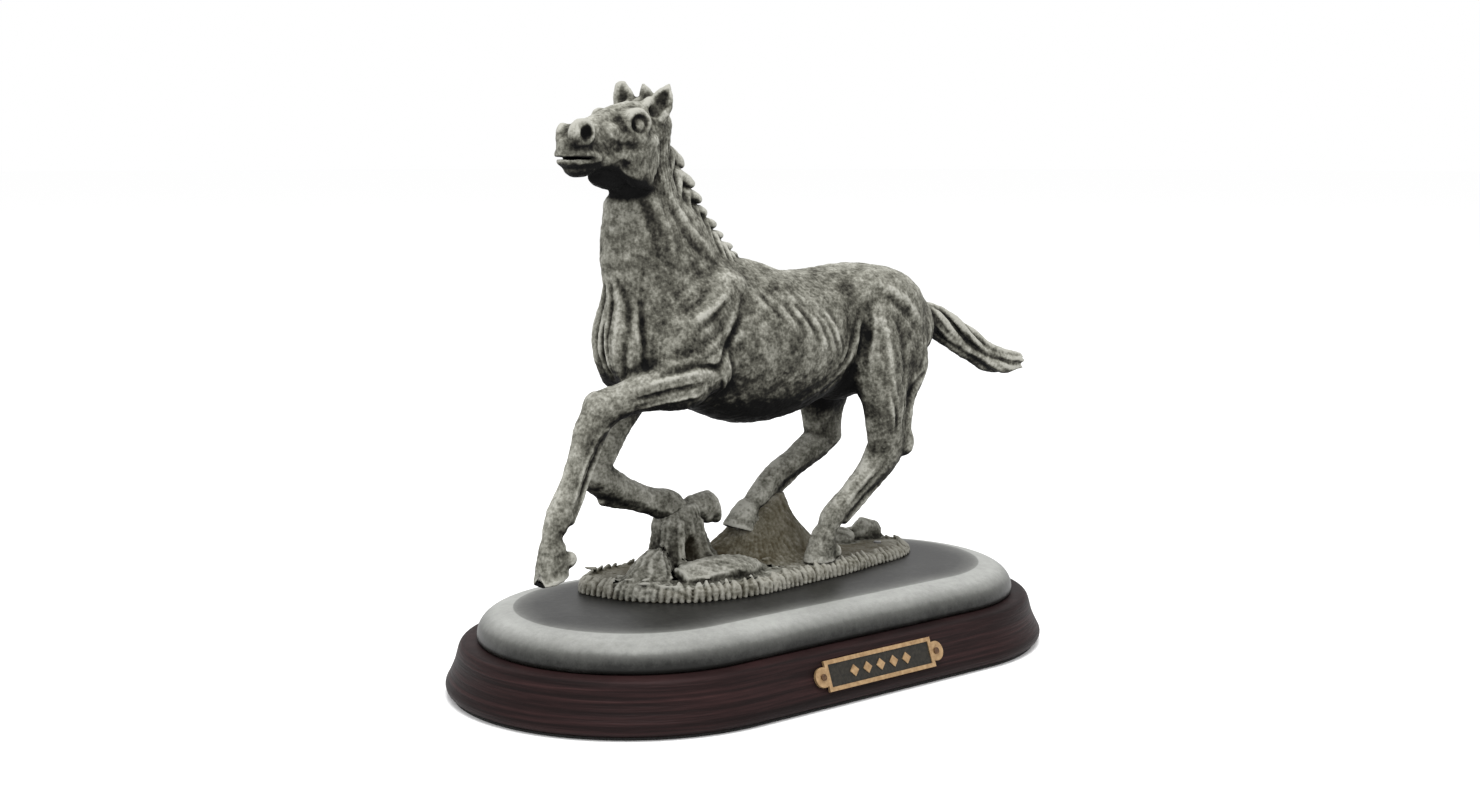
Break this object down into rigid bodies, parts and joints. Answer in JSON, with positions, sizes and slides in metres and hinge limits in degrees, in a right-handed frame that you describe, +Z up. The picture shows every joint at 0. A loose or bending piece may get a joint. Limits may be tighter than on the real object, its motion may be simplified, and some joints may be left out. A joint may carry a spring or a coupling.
{
  "type": "horse statue",
  "caption": "Galloping horse cast in antiqued metal, on a ground casting with stump and stones, mounted on a rounded wooden plinth with a brass plate.",
  "frame": {"origin": "centre of the plinth's underside, on the felt", "axes": "+Z up; +X along the plinth towards the tail; the horse faces -X, and its near side and the plate face -Y"},
  "size_m": [0.2715, 0.1369, 0.2176],
  "materials": {
    "statue_metal": "antiqued pewter-grey patina over cast bronze, pale dry-brushed ridges and near-black recesses",
    "terrain_metal": "antiqued pewter-grey patina over cast bronze with a brown wash",
    "cap_metal": "satin silver, burnished on the shoulder and darkened at the seam and under the ground",
    "plinth_wood": "dark mahogany stain, satin lacquer",
    "felt": "short black felt",
    "plate_brass": "satin lacquered brass",
    "plate_enamel": "black enamel",
    "pin_steel": "plain drawn steel",
    "screw_steel": "zinc plated"
  },
  "bodies": {
    "root": {"base_screws": "screw_steel", "base_washers": "screw_steel", "felt_pad": "felt", "flat_stone": "terrain_metal", "grass_knoll": "terrain_metal", "ground_casting": "terrain_metal", "ground_screws": "screw_steel", "ground_washers": "screw_steel", "head": "statue_metal", "head_pin": "pin_steel", "hoof_pins": "pin_steel", "limb_joint_pins": "pin_steel", "limb_root_pins": "pin_steel", "nameplate_frame": "plate_brass", "nameplate_ornament": "plate_brass", "nameplate_panel": "plate_enamel", "nameplate_tacks": "plate_brass", "near_fore_lower": "statue_metal", "near_fore_upper": "statue_metal", "near_hind_lower": "statue_metal", "near_hind_upper": "statue_metal", "neck": "statue_metal", "neck_pins": "pin_steel", "off_fore_lower": "statue_metal", "off_fore_upper": "statue_metal", "off_hind_lower": "statue_metal", "off_hind_upper": "statue_metal", "plinth_cap": "cap_metal", "rear_boulder": "terrain_metal", "rear_cobble": "terrain_metal", "root_mound": "terrain_metal", "tail": "statue_metal", "tail_pin": "pin_steel", "terrain_pins": "pin_steel", "tree_stump": "terrain_metal", "trunk_front": "statue_metal", "trunk_pins": "pin_steel", "trunk_rear": "statue_metal", "wood_plinth": "plinth_wood"}
  },
  "joints": []
}
